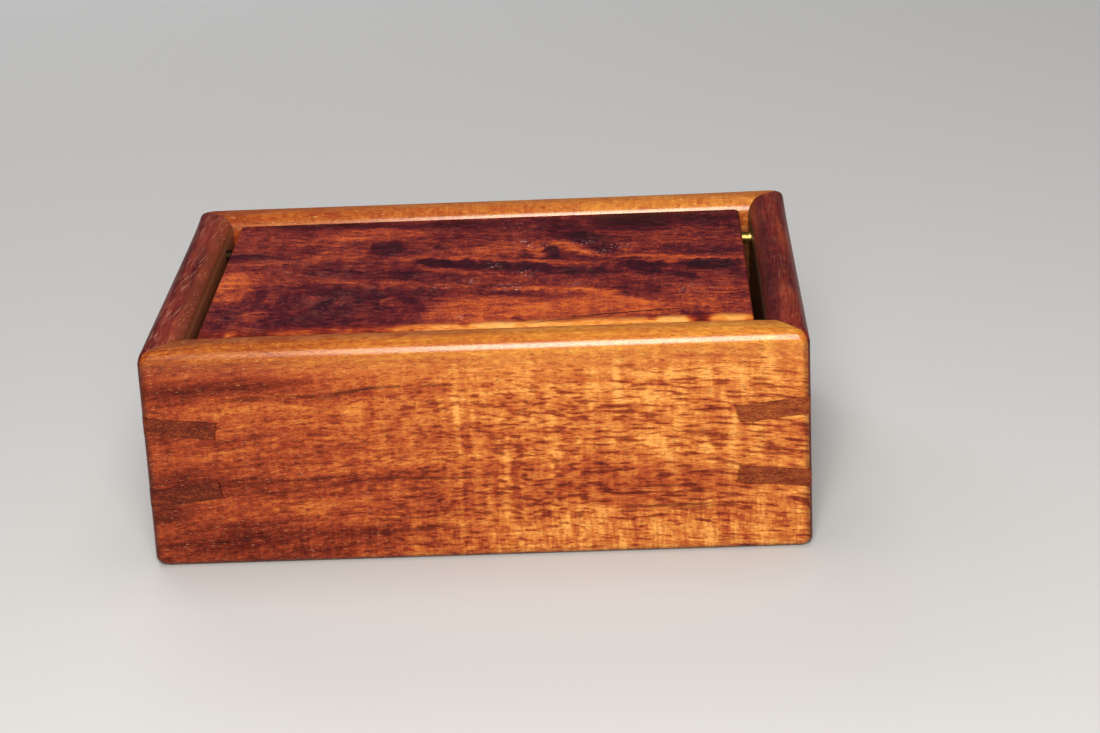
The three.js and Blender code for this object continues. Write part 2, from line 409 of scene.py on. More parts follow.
class Field:
    """A number, vector or colour that a material works out at each point, from which others are made."""

    def __init__(self, socket):
        self.socket = socket

    def new_node(self, kind):
        return self.socket.id_data.nodes.new(kind)

    def calculate(self, operation, a, b=0.0):
        node = self.new_node("ShaderNodeMath")
        node.operation = operation
        put(node.inputs[0], a)
        put(node.inputs[1], b)
        return Field(node.outputs[0])

    def __add__(self, other):
        return self.calculate("ADD", self, other)

    def __sub__(self, other):
        return self.calculate("SUBTRACT", self, other)

    def __rsub__(self, other):
        return self.calculate("SUBTRACT", other, self)

    def __mul__(self, other):
        return self.calculate("MULTIPLY", self, other)

    def __abs__(self):
        return self.calculate("ABSOLUTE", self)

    def at_least(self, other):
        return self.calculate("MAXIMUM", self, other)

    def at_most(self, other):
        return self.calculate("MINIMUM", self, other)

    def above(self, other):
        """1 where the field is greater, else 0."""
        return self.calculate("GREATER_THAN", self, other)

    def clamped(self):
        """The same product or sum, kept from 0 to 1."""
        self.socket.node.use_clamp = True
        return self

    def vector_math(self, operation, other):
        node = self.new_node("ShaderNodeVectorMath")
        node.operation = operation
        put(node.inputs[0], self)
        put(node.inputs[1], other)
        return Field(node.outputs[0])

    def axes(self):
        """The three parts of a vector."""
        node = self.new_node("ShaderNodeSeparateXYZ")
        put(node.inputs[0], self)
        return [Field(part) for part in node.outputs]

    def step(self, low, high, to_low=0.0, to_high=1.0):
        """A smooth step: to_low up to the value low, and to_high from the value high on."""
        node = self.new_node("ShaderNodeMapRange")
        node.interpolation_type = "SMOOTHSTEP"
        for socket, given in zip(node.inputs, (self, low, high, to_low, to_high)):
            put(socket, given)
        return Field(node.outputs[0])

    def noise(self, size, detail, rough=0.5, shift=0):
        """Noise from 0 to 1 whose grains have this size along each axis, in the vector's units.
        The shift says which part of the endless noise it is."""
        scaled = self.vector_math("MULTIPLY", [1 / s for s in size])
        if shift:
            scaled = scaled.vector_math("ADD", (shift, shift / 3, shift / 7))
        node = self.new_node("ShaderNodeTexNoise")
        put(node.inputs["Vector"], scaled)
        node.inputs["Scale"].default_value = 1
        node.inputs["Detail"].default_value = detail
        node.inputs["Roughness"].default_value = rough
        return Field(node.outputs[0])

    def oval(self, middle, half, slope):
        """How deep a point of a plane lies in an oval: 1 in its middle, 0 from its edge on."""
        turned = self.new_node("ShaderNodeMapping")
        turned.vector_type = "TEXTURE"
        put(turned.inputs["Vector"], self)
        turned.inputs["Location"].default_value = (*middle, 0)
        turned.inputs["Rotation"].default_value = (0, 0, math.radians(slope))
        turned.inputs["Scale"].default_value = (*half, 1)
        ball = self.new_node("ShaderNodeTexGradient")
        ball.gradient_type = "SPHERICAL"
        put(ball.inputs[0], Field(turned.outputs[0]))
        return Field(ball.outputs[1])

    def zones(self, table, soft):
        """The sum of soft ovals, each with its middle, half sizes, slope in degrees and weight.
        An oval has its full weight from the depth soft on."""
        total = None
        for u, v, half_u, half_v, slope, weight in table:
            part = self.oval((u, v), (half_u, half_v), slope).step(0, soft, 0, weight)
            total = part if total is None else total + part
        return total

    def ramp(self, stops):
        """A colour ramp. Each stop is a place and a screen colour."""
        node = self.new_node("ShaderNodeValToRGB")
        ramp = node.color_ramp
        while len(ramp.elements) < len(stops):
            ramp.elements.new(1)
        for element, (place, colour) in zip(ramp.elements, stops):
            element.position = place
            element.color = tint(colour)
        put(node.inputs[0], self)
        return Field(node.outputs[0])

    def mix(self, a, b):
        """The colour a where the field is 0, and b where it is 1."""
        node = self.new_node("ShaderNodeMix")
        node.data_type = "RGBA"
        put(node.inputs[0], self)
        put(node.inputs[6], a)
        put(node.inputs[7], b)
        return Field(node.outputs[2])


class Shader:
    """A material with one surface. Its mm is the place of each point in mm."""

    def __init__(self, name):
        self.material = bpy.data.materials.new(name)
        self.material.use_nodes = True
        self.nodes = self.material.node_tree.nodes
        self.nodes.clear()
        output = self.nodes.new("ShaderNodeOutputMaterial")
        self.surface = self.nodes.new("ShaderNodeBsdfPrincipled")
        put(output.inputs[0], Field(self.surface.outputs[0]))
        place = Field(self.nodes.new("ShaderNodeTexCoord").outputs["Object"])
        self.mm = place.vector_math("MULTIPLY", (1 / MM, 1 / MM, 1 / MM))

    def join(self, x, y, z):
        """A vector from three fields or numbers."""
        node = self.nodes.new("ShaderNodeCombineXYZ")
        for socket, value in zip(node.inputs, (x, y, z)):
            put(socket, value)
        return Field(node.outputs[0])

    def set(self, name, value):
        put(self.surface.inputs[name], value)

    def bump(self, height, distance):
        node = self.nodes.new("ShaderNodeBump")
        node.inputs["Distance"].default_value = distance
        put(node.inputs["Height"], height)
        self.set("Normal", Field(node.outputs[0]))


# The long walls' figure: ovals by x and by the height up the board in mm, with half sizes, slope and
# weight. First the broad light and dark, then the thin dark lines, then the curl's bars, light and dark
LONG_TONES = [
    (-62, 51.0, 44, 3.6, 2, -0.10),
    (-66, 51.8, 28, 2.6, 1, -0.14),
    (-80, 57.5, 24, 2.2, 0, -0.05),
    (-30, 56.5, 45, 5.5, 0, 0.05),
    (-60, 42.0, 36, 7.5, 0, 0.08),
    (-62, 33.0, 32, 4.5, 0, 0.02),
    (-76, 24.0, 18, 5.0, -3, -0.10),
    (-84, 15.5, 9, 3.4, 0, -0.16),
    (-45, 16.5, 40, 5.0, 0, 0.02),
    (-44, 24.5, 34, 8.0, 0, -0.09),
    (-22, 22.0, 26, 11.0, 0, -0.05),
    (-52, 6.5, 52, 8.0, 0, -0.16),
    (-60, 7.0, 18, 6.0, 0, -0.04),
    (-28, 8.5, 26, 3.2, 4, -0.08),
    (-25, 40.0, 16, 6.0, 0, 0.03),
    (25, 50.0, 60, 18.0, 0, 0.07),
    (62, 42.0, 34, 22.0, 0, 0.05),
    (42, 20.0, 34, 8.5, -3, -0.15),
    (10, 21.0, 22, 6.0, 0, -0.08),
    (58, 6.0, 42, 6.5, 0, 0.05),
    (20, 6.0, 24, 6.0, 0, 0.04),
    (80, 13.5, 14, 3.5, 0, -0.05),
]
LONG_LINES = [
    (-60, 48.0, 10, 0.9, 4, 0.7),
    (-44, 48.3, 13, 0.7, -4, 0.6),
    (-33, 49.3, 9, 0.9, 8, 0.8),
    (-24, 50.2, 9, 0.6, 2, 0.7),
    (-10, 50.3, 7, 0.6, -3, 0.6),
    (-86, 45.2, 4, 0.6, -12, 0.8),
    (-82, 18.3, 7, 0.8, 8, 0.9),
    (-85, 14.2, 6, 0.9, 3, 0.9),
    (-46, 24.6, 26, 0.5, 2, 0.7),
    (-12, 23.8, 22, 0.5, -2, 0.7),
    (-18, 12.6, 16, 0.5, 4, 0.6),
    (-20, 9.0, 22, 0.6, 2, 0.6),
    (-52, 21.0, 12, 0.4, 0, 0.5),
    (52, 13.8, 16, 0.6, 0, 0.8),
    (60, 13.0, 10, 0.4, 2, 0.6),
    (50, 19.5, 12, 0.5, 0, 0.5),
    (62, 33.5, 12, 0.4, 0, 0.4),
]
LONG_CURLS = [
    (-8.5, 32, 1.6, 36, 0, 0.5),
    (-5.0, 40, 1.3, 40, 0, 0.75),
    (-1.0, 34, 1.3, 38, 0, 0.6),
    (2.5, 14, 1.0, 16, 0, 0.6),
    (7.5, 22, 1.6, 34, 0, 0.8),
    (12.0, 30, 1.2, 24, 0, 0.3),
    (15.0, 50, 1.8, 14, 0, 0.5),
    (20.0, 14, 1.4, 16, 0, 0.6),
    (27.0, 28, 1.6, 16, 0, 0.4),
    (32.0, 52, 2.2, 12, 0, 0.5),
    (38.5, 53, 2.0, 12, 0, 0.9),
    (45.5, 53, 2.4, 12, 0, 0.9),
    (39.0, 28, 1.8, 14, 0, 0.5),
    (57.0, 8, 2.2, 12, 0, 0.5),
    (62.0, 50, 2.6, 14, 0, 0.5),
    (77.0, 56, 2.4, 14, 0, 0.7),
    (70.0, 8, 2.0, 10, 0, 0.4),
    (4.6, 18, 1.2, 16, 0, -0.8),
    (10.5, 16, 1.4, 14, 0, -0.5),
    (17.0, 12, 1.2, 14, 0, -0.5),
    (25.0, 14, 1.6, 12, 0, -0.5),
    (50.5, 52, 1.6, 12, 0, -0.4),
    (55.0, 36, 3.0, 12, 0, -0.4),
]
LONG_STOPS = [
    (0, 0x240304), (0.14, 0x460608), (0.28, 0x5C1B0D), (0.38, 0x6E2414),
    (0.5, 0x843419), (0.64, 0x9A4B21), (0.8, 0xAF672D), (1, 0xCB8C47),
]
INSIDE_STOPS = [(0.3, 0x4E2A1A), (0.7, 0x8A5436)]  # the walls' inner faces

# Colours that lie over the walls' figure
WORN_TINT = tint(0xB87848)
# the painted shade of the foot and the upright corners
FOOT_AND_CORNER_SHADE = tint(0x34100A)
LONG_FLECK = tint(0x3A0A04)
LONG_PORE = tint(0x3C1008)
# pale dashes in the pores, painted glints
LONG_PAINTED_GLINT = tint(0xBE8A5E)

# The finish on all wood
FINISH_SPECULAR = 0.3
FINISH_TINT = tint(0xFFC08C)
COAT_ROUGHNESS = 0.17
PORE_DEPTH = 0.08 * MM


def board(s, across, half):
    """A wall's own coordinates in mm: in from its outer face, and up it and over its rim.
    The opposite wall is the same board turned upside down."""
    inset = half / MM - abs(across)
    height = s.mm.axes()[2] + inset * RIM_TURN
    opposite = across.above(0)
    return inset, height + opposite * (height * -2 + HEIGHT / MM)


def inner_face(bands, fibre):
    """The colour of a wall's inner face."""
    return (bands * 0.5 + fibre * 0.5).ramp(INSIDE_STOPS)


def shaded_and_worn(s, colour, rub=0.3):
    """Darker along the foot and the upright corners, which is painted shade, and rubbed along the rim."""
    x, y, z = s.mm.axes()
    cloud = s.mm.noise((6, 6, 6), 2, shift=77)
    corner = (LENGTH / 2 + DEPTH / 2) / MM
    # Painted shade: darker along the upright corners and along the foot
    edge = (abs(x) + abs(y)).step(corner - 2.4, corner - 1.1)
    foot = z.step(1.8, 0.1)
    dark = (edge * 0.55).at_least(foot * 0.7) * (cloud + 0.45)
    rubbed = z.step(HEIGHT / MM - 1.2, HEIGHT / MM) * cloud.step(0.45, 0.75, 0, rub)
    return dark.clamped().mix(rubbed.mix(colour, WORN_TINT), FOOT_AND_CORNER_SHADE)


def finish(s, fibre, pore, rough=0.4, coat=0.1):
    """A wiped finish: satin, duller over the fibres and in the pores, which stay open."""
    s.set("Roughness", fibre * 0.12 + pore * 0.12 + rough)
    s.set("Specular IOR Level", FINISH_SPECULAR)
    s.set("Specular Tint", FINISH_TINT)
    s.set("Coat Weight", coat)
    s.set("Coat Roughness", COAT_ROUGHNESS)
    s.bump(fibre * 0.2 - pore, PORE_DEPTH)


def long_wood():
    """Curly golden wood, for the front and back walls."""
    s = Shader("curly_gold_wood")
    x, y, z = s.mm.axes()
    inset, v = board(s, y, DEPTH / 2)
    place = s.join(x, inset, v)
    side = x.step(-85, 40)
    rim = z.step(48, 60)

    # How the grain runs, and the ovals, moved with it
    sway = place.noise((45, 60, 20), 1)
    ripple = place.noise((11, 20, 6), 1, shift=31)
    flow = v + sway * 3.6 + ripple * 0.7 - 2.15
    arched = flow + x * x * 0.0006
    grain = s.join(x, inset, arched)
    tones = s.join(x + ripple * 6 - 3, flow, 0).zones(LONG_TONES, 0.7)
    curls = s.join(x + sway * 5 - 2.5, v, 0).zones(LONG_CURLS, 0.9)
    lines = s.join(x, v + ripple * 1.2 - 0.6, 0).zones(LONG_LINES, 0.6)

    # The grain, and across it the curl, which is calmer on the rim
    bands = grain.noise((55, 25, 3.6), 2, 0.55, shift=3)
    streaks = grain.noise((12, 8, 1.3), 3, 0.6, shift=11)
    fibre = grain.noise((1.7, 0.6, 0.32), 3, 0.65, shift=17)
    mottle = grain.noise((2.4, 2, 1.5), 2, 0.6, shift=37)
    curl = place.noise((3.4, 12, 14), 2, shift=5)
    shimmer = place.noise((0.8, 6, 4), 2, 0.6, shift=8)
    tone = tones + bands * 0.42 + streaks * 0.42 + fibre * 0.5 + mottle * 0.34
    tone = tone + curls * 0.14 + side * 0.25 + 0.14
    tone = tone + (curl - 0.5) * (side * 0.4 + 0.12) * (1 - rim * 0.7)
    tone = tone + (shimmer - 0.5) * (0.16 - rim * 0.13)
    tone = tone + (shimmer - 0.55) * v.step(18, 8) * side * 0.3

    # Dark flecks, more and longer on the right, and fewer at the rim and at the foot
    stretched = s.join(x.at_most(x * 0.6 + 12), inset, arched)
    flecks = stretched.noise((3.2, 3, 0.85), 0.8, shift=23)
    least = 0.535 - side * 0.04 + v.step(44, 56, 0, 0.06) + v.step(14, 6, 0, 0.06) * side
    halo = flecks.step(least - 0.04, least + 0.16)
    core = flecks.step(least + 0.04, least + 0.24)
    tone = tone - halo * (side * 0.14 + 0.06) * (1 - rim * 0.8)

    # The rim has less contrast, and is lighter. The back wall is a little lighter, which is painted light
    behind = y.step(0, 10) * x.step(-75, 0, 0.02, 0.06)
    # Painted highlight: the top of the front rim is lighter towards the right, the glow round the
    # highlight
    before = y.step(0, -10) * z.step(60, 63) * x.step(-10, 40, 0, 0.02)
    level = rim * 0.356 - 0.736 + behind + before
    colour = (tone * (1.22 - rim * 0.32) + level).ramp(LONG_STOPS)

    # The flecks' cores and the dark lines, then dark pores and pale pores, the pale ones painted glints
    dark = core * (side * 0.3 + 0.2) * (1 - rim * 0.85)
    colour = dark.at_least(lines * 0.8).clamped().mix(colour, LONG_FLECK)
    pore = place.noise((1.3, 0.3, 0.22), 1, shift=41).step(0.64, 0.7)
    colour = (pore * 0.5).mix(colour, LONG_PORE)
    # Painted highlight: pale dashes for glints in the pores
    chalk = place.noise((1.8, 0.4, 0.24), 1, shift=57).step(0.655, 0.73)
    colour = (chalk * (0.6 - side * 0.3)).mix(colour, LONG_PAINTED_GLINT)

    # The rim is more golden, the front wall's most of all
    gold = z.step(54, 60) * y.step(0, 62, 1, 0.45)
    golden = s.join(1, gold * (0.32 - side * 0.18) + 1, 1 - gold * 0.25)
    colour = colour.vector_math("MULTIPLY", golden)

    # The inner face is plainer, and darker below the lid's level, which is painted shade under the lid
    inner_face_and_shade = inset.step(WALL / MM - 0.5, WALL / MM - 0.1) * z.step(56, 51, 0, 0.85)
    s.set("Base Color", inner_face_and_shade.mix(shaded_and_worn(s, colour), inner_face(bands, fibre)))

    # The rim shines more, apart from the back wall's left end
    dull = y.step(0, 20) * x.step(-10, -60, 0, 0.7)
    finish(s, fibre, pore, coat=z.step(53, 58, 0.1, 0.4) * (1 - dull))
    return s.material


# The lid's figure: ovals by x and y in mm, with half sizes, slope and weight
LID_TONES = [
    # the dark block at the front left, its clear spots and the bright left edge
    (-44, -26, 32, 24, 0, -0.17),
    (-26, -19, 24, 10, -8, -0.14),
    (-22, -33, 12, 14, 0, -0.14),
    (-42, -33, 9, 14, 0, -0.10),
    (-55, -36, 7, 12, 0, -0.08),
    (-50, -12, 20, 8, -5, -0.08),
    (-37, -21, 3.6, 4.6, 0, 0.30),
    (-24, -23.5, 4.4, 5, 0, 0.28),
    (-31, -24, 2, 4, 0, 0.16),
    (-47, -19, 2.4, 4, 0, 0.18),
    (-39, -26, 1.8, 3, 0, 0.14),
    (-43, -19.5, 3, 3.5, 0, 0.16),
    (-58, -18, 3, 7, 0, 0.24),
    (-61, -31, 5, 5, 0, 0.26),
    (-48, -25, 2, 5, 0, 0.10),
    (-71, -32, 6, 16, 0, -0.12),
    (-63, -38, 3.5, 8, 0, 0.12),
    (-70, -8, 7, 19, 0, 0.30),
    (-69, 1, 10, 8, 0, 0.16),
    (-58, 3, 12, 8, 0, 0.06),
    # the dark field left of the middle, and the clear streaks round it
    (-34, 4, 26, 10, -14, -0.13),
    (-16, -3, 16, 6, -20, -0.16),
    (-36, -5, 22, 3.2, -8, 0.12),
    (-14, -10, 16, 3.4, -14, 0.14),
    (-12, 3.2, 12, 2, -28, 0.18),
    (2, -1.8, 10, 1.6, -15, 0.12),
    # the black streak, lobe by lobe, with its bright upper edge
    (-14, 9.5, 7, 4.8, -25, -0.42),
    (-7, 7.5, 5, 5.5, -20, -0.34),
    (-1, 5.5, 4.6, 6, -15, -0.34),
    (5, 4.5, 4.4, 5.6, -15, -0.34),
    (10.5, 2.5, 4.2, 6, -15, -0.34),
    (16, 1.5, 4.2, 6, -10, -0.36),
    (21.5, -1, 4.2, 5.2, -10, -0.34),
    (26.5, -2.5, 3.6, 5.8, -10, -0.34),
    (32, -3, 4, 6, -10, -0.30),
    (37, -4, 3.4, 5, -20, -0.16),
    (-21, 15.5, 7, 2.8, -5, 0.24),
    (-8, 13.2, 12, 2, -10, 0.20),
    (8, 9.6, 12, 1.9, -12, 0.24),
    (22, 6, 9, 1.7, -12, 0.28),
    (31, 4, 5, 1.4, -5, 0.18),
    (14, 10.8, 14, 1.1, -9, -0.16),
    (-2, 12.6, 10, 1, -9, 0.12),
    # its fellow on the right
    (45, 0, 5.5, 11, 33, -0.38),
    (51, 1.5, 2.6, 4, 20, -0.25),
    (56, -8, 9, 3.6, -38, -0.32),
    (65, 0, 9, 6, 0, -0.50),
    (71, -1, 5, 7, 0, -0.25),
    (60, 2, 5, 4.5, 0, -0.20),
    (73, -9, 4, 6, 0, -0.20),
    (36, 10, 6, 1.9, -20, 0.26),
    (46, 9.6, 8, 2.4, -3, 0.32),
    (57, 7.5, 8, 2.8, -8, 0.36),
    (68, 5.8, 8, 1.6, -5, 0.24),
    (50, 5, 3, 2, 0, 0.16),
    (54, 3.6, 2, 2.5, 0, 0.18),
    # the back right, dark with a branch that runs down to the middle
    (58, 48, 36, 15, 0, -0.26),
    (70, 44, 16, 14, 0, -0.08),
    (42, 44, 16, 14, -10, -0.20),
    (24, 35, 9, 18, 31, -0.20),
    (31, 24, 6.5, 15, 31, -0.22),
    (34, 16, 4.5, 7, 20, -0.16),
    (42, 34, 14, 12, 0, -0.10),
    (56, 24, 24, 8, -8, 0.04),
    (62, 14, 16, 5, -12, -0.18),
    (19.7, 15.5, 2.6, 8, 8, -0.40),
    (15, 19, 3, 10, 4, 0.20),
    (24, 22, 4.4, 9, 35, 0.28),
    (29.5, 14.5, 3, 7, 42, 0.22),
    (6, 20, 12, 8, 0, 0.14),
    (11.5, 17, 1.2, 6, 5, -0.10),
    # the back left
    (-29, 24.5, 7, 9, 8, -0.36),
    (-23, 18.5, 6, 4, -25, -0.20),
    (-14.5, 25, 2.2, 7, 30, -0.22),
    (-70, 20.5, 9, 3.4, -6, -0.36),
    (-58, 17.6, 7, 1.9, -10, -0.18),
    (-52, 49.5, 18, 4, 0, -0.30),
    (-28, 47, 26, 3.6, -3, -0.20),
    (-5, 45, 22, 6, -6, -0.10),
    (-33, 38, 20, 8, -4, 0.24),
    (-48, 32, 15, 9, 0, 0.10),
    (-66, 36, 12, 12, 0, 0.08),
    (-42, 20, 11, 7, 10, 0.16),
    (-54, 14.6, 14, 3, 0, 0.10),
    (-20, 33, 6, 6, 0, 0.08),
    # the bright front right
    (10, -16.6, 10, 2.6, 3, 0.20),
    (23, -17.5, 12, 3, -8, 0.24),
    (35, -22.5, 10, 3.6, -35, 0.26),
    (42.5, -29, 7, 3.4, -45, 0.20),
    (12, -21, 16, 3.4, -14, -0.14),
    (44, -20, 8, 9, 30, -0.14),
    (4, -33, 22, 13, 0, 0.27),
    (31, -35, 25, 12, 0, 0.25),
    (54, -36, 18, 9, 0, 0.14),
    (68, -34, 12, 10, 0, 0.08),
    (60, -40, 5, 5, -20, -0.28),
    (71, -27, 4, 4, 0, -0.10),
    (24, -10, 40, 7, 0, 0.07),
    (27, -24, 14, 8, -10, 0.10),
    (63, -21, 14, 12, 0, 0.13),
    (18, -37, 62, 9, 0, 0.06),
    (64, -34, 14, 9, 0, 0.08),
    (12, 44, 30, 10, 0, -0.08),
    (-6, 18, 14, 6, -6, 0.09),
    (-45, 18, 14, 6, 0, 0.05),
    # how light and dark lie over the whole board
    (-38, 45, 44, 10, 0, -0.09),
    (20, 44, 50, 9, 0, -0.06),
    (68, 30, 12, 10, 0, -0.10),
    (20, -24, 62, 12, 0, 0.07),
    (-26, -29, 10, 12, 0, 0.12),
    (8, 18, 24, 8, 0, 0.07),
]
LID_STOPS = [
    (0, 0x1C000C), (0.14, 0x2A0012), (0.26, 0x3A0416), (0.38, 0x4C0C18),
    (0.5, 0x641B1B), (0.6, 0x7A281E), (0.7, 0x90351E), (0.82, 0xA8441E), (0.95, 0xC25E22),
]
# The pale strip along the lid's front
SAP_TONES = [
    (-60, -46, 28, 10, 0, -0.14),
    (30, -47, 56, 7, 0, 0.14),
    (50, -47, 14, 6, 0, 0.14),
    (-65.5, -46.5, 3.4, 5, 0, 0.30),
    (-48, -47, 9, 3.5, 0, 0.22),
    (-33, -47, 6, 3, 0, 0.12),
    (-14, -46, 14, 7, 0, 0.34),
    (0, -46, 16, 7, 0, 0.22),
    (22, -46, 36, 9, 0, 0.42),
    (54, -46, 8, 7, 0, 0.40),
    (69, -46, 9, 7, 0, 0.52),
    (-3, -44, 2.2, 4.5, 10, -0.3),
    (12, -43.5, 3, 2, 0, -0.2),
    (27, -44, 8, 2, 8, -0.2),
    (48, -44, 2, 4.5, 0, -0.28),
    (60, -45, 4.5, 6, 0, -0.42),
]
SAP_STOPS = [
    (0.1, 0x4E0A04), (0.3, 0x7C1C0A), (0.45, 0xA03C10), (0.6, 0xC66720), (0.8, 0xE4923A), (1, 0xF2B060),
]
# Where the lid's pores show white specks, painted glints
LID_GLINT_PATCHES = [
    (11, 26, 5, 3, 0, 0.8),
    (15, 22, 5, 3.5, 0, 0.8),
    (29, 23.5, 5, 2.5, 0, 0.9),
    (32, 15, 6, 3, 0, 0.9),
    (39.5, 19.5, 5, 3, 0, 1),
    (-4, -9, 5, 3, 0, 0.8),
    (-13, -13, 7, 4, 0, 0.5),
    (3.5, 5, 4, 4, 0, 0.5),
    (13, -2.5, 5, 4, 0, 0.6),
    (26.5, -14, 3, 2.5, 0, 1.2),
    (8, -15, 7, 5, 0, 0.7),
    (-4, -39, 4, 3, 0, 0.8),
    (60, -21, 7, 6, 0, 0.6),
    (-45, -22, 24, 12, 0, 0.12),
]
LID_SCRATCHES = [
    (40, -39.4, 20, 0.6, 7, 1.4),
    (24, -43.2, 16, 0.5, 14, 1.0),
    (52, -37.8, 8, 0.5, 3, 1.0),
]
LID_SCRATCH = tint(0x2C0A0A)
LID_STREAK = tint(0xB8725A)
LID_PORE = tint(0x1C0206)
# white specks in the pores, painted glints
LID_PAINTED_GLINT = tint(0xE8C8BC)


def lid_wood():
    """Dark streaked wood with a strip of pale sapwood along the front, for the lid."""
    s = Shader("streaked_lid_wood")
    x, y, z = s.mm.axes()
    flat = s.join(x, y, 0)
    top = z.step(LID_HIGH.z / MM - 1, LID_HIGH.z / MM - 0.3)

    # How the grain runs, and the ovals, moved with it
    curl = s.mm.noise((2.6, 16, 14), 1.5, shift=5)
    sway = s.mm.noise((34, 26, 20), 1.5, shift=2)
    ripple = s.mm.noise((9, 6, 8), 2, shift=31)
    shake = s.mm.noise((1.6, 1.2, 2), 1.5, shift=83)
    grain = s.join(x, y + sway * 6 + ripple * 3 + curl * 3 - 6 + x * 0.16, z)
    near = y + ripple * 3.2 + curl * 3.2 + shake * 2.4 - 4.4
    tones = s.join(x + ripple * 4 + shake * 3 - 3.5, near, 0).zones(LID_TONES, 0.48)

    # The figure under all else
    bands = grain.noise((40, 5, 10), 3, 0.55, shift=3)
    streaks = grain.noise((12, 1.4, 3), 3, 0.6, shift=11)
    fibre = grain.noise((3, 0.8, 0.5), 3, 0.7, shift=17)
    cloud = s.mm.noise((3.4, 2.2, 3), 2.5, 0.6, shift=47)
    hair = grain.noise((4, 0.26, 1), 1, shift=91)
    speck = s.mm.noise((0.7, 1.4, 0.8), 1, shift=19)
    tone = tones * 0.8 + bands * 0.38 + streaks * 0.58 + fibre * 0.8
    tone = tone + curl * 0.34 + cloud * 0.48 + hair * 0.5 + speck * 0.45 - 1.28
    colour = tone.ramp(LID_STOPS)

    # The pale strip along the front, and the scratches in it
    edge = y + curl * 3 + ripple * 3 + streaks * 2 + shake * 2 + fibre * 3
    warm = flat.zones(SAP_TONES, 0.7) * 0.9 + streaks * 0.5 + curl * 0.4 + fibre * 0.8 + shake * 0.3 - 0.7
    colour = edge.step(-34.7, -40.3).mix(colour, warm.ramp(SAP_STOPS))
    scratch = flat.zones(LID_SCRATCHES, 0.6) * (top * 0.8)
    colour = scratch.clamped().mix(colour, LID_SCRATCH)

    # Fine pale streaks, most of them on the left
    streak = grain.noise((3.6, 0.24, 1), 1, shift=97).step(0.6, 0.72)
    most = x.step(0, -30, 0.3, 0.46)
    streak = streak * s.mm.noise((15, 14, 15), 1, shift=29).step(0.45, 0.65, 0.05, most)
    colour = streak.mix(colour, LID_STREAK)

    # Dark pores, and white ones on the top, which are painted glints
    pore = s.mm.noise((1.6, 0.24, 0.3), 1, shift=41).step(0.64, 0.71)
    colour = (pore * 0.4).mix(colour, LID_PORE)
    chalk = s.mm.noise((1.1, 0.7, 0.5), 1, shift=57).step(0.64, 0.7) * flat.zones(LID_GLINT_PATCHES, 0.6)
    colour = (chalk.clamped() * (top * 0.9)).mix(colour, LID_PAINTED_GLINT)
    s.set("Base Color", colour)
    finish(s, fibre, pore, y.step(15, 45, 0.34, 0.5), 0.14)
    return s.material


END_STOPS = [(0.1, 0x22060C), (0.35, 0x430F14), (0.5, 0x5E1A18), (0.65, 0x7A2B1D), (0.85, 0x984826)]
END_PORE = tint(0x180404)
END_CHALK = tint(0xB47E64)
# Painted light and shade on the end walls: the lighter rim on the left, the olive inner edges, and the
# gap's shade and light on the inner faces
END_RIM_PAINTED_LIGHT = tint(0x8E4A2E)
END_EDGE_PAINTED_LIGHT_LEFT = tint(0x54401F)
END_EDGE_PAINTED_LIGHT_RIGHT = tint(0x4A4030)
END_GAP_PAINTED_SHADE = tint(0x2A2016)
END_INNER_PAINTED_LIGHT = tint(0x9E5C40)


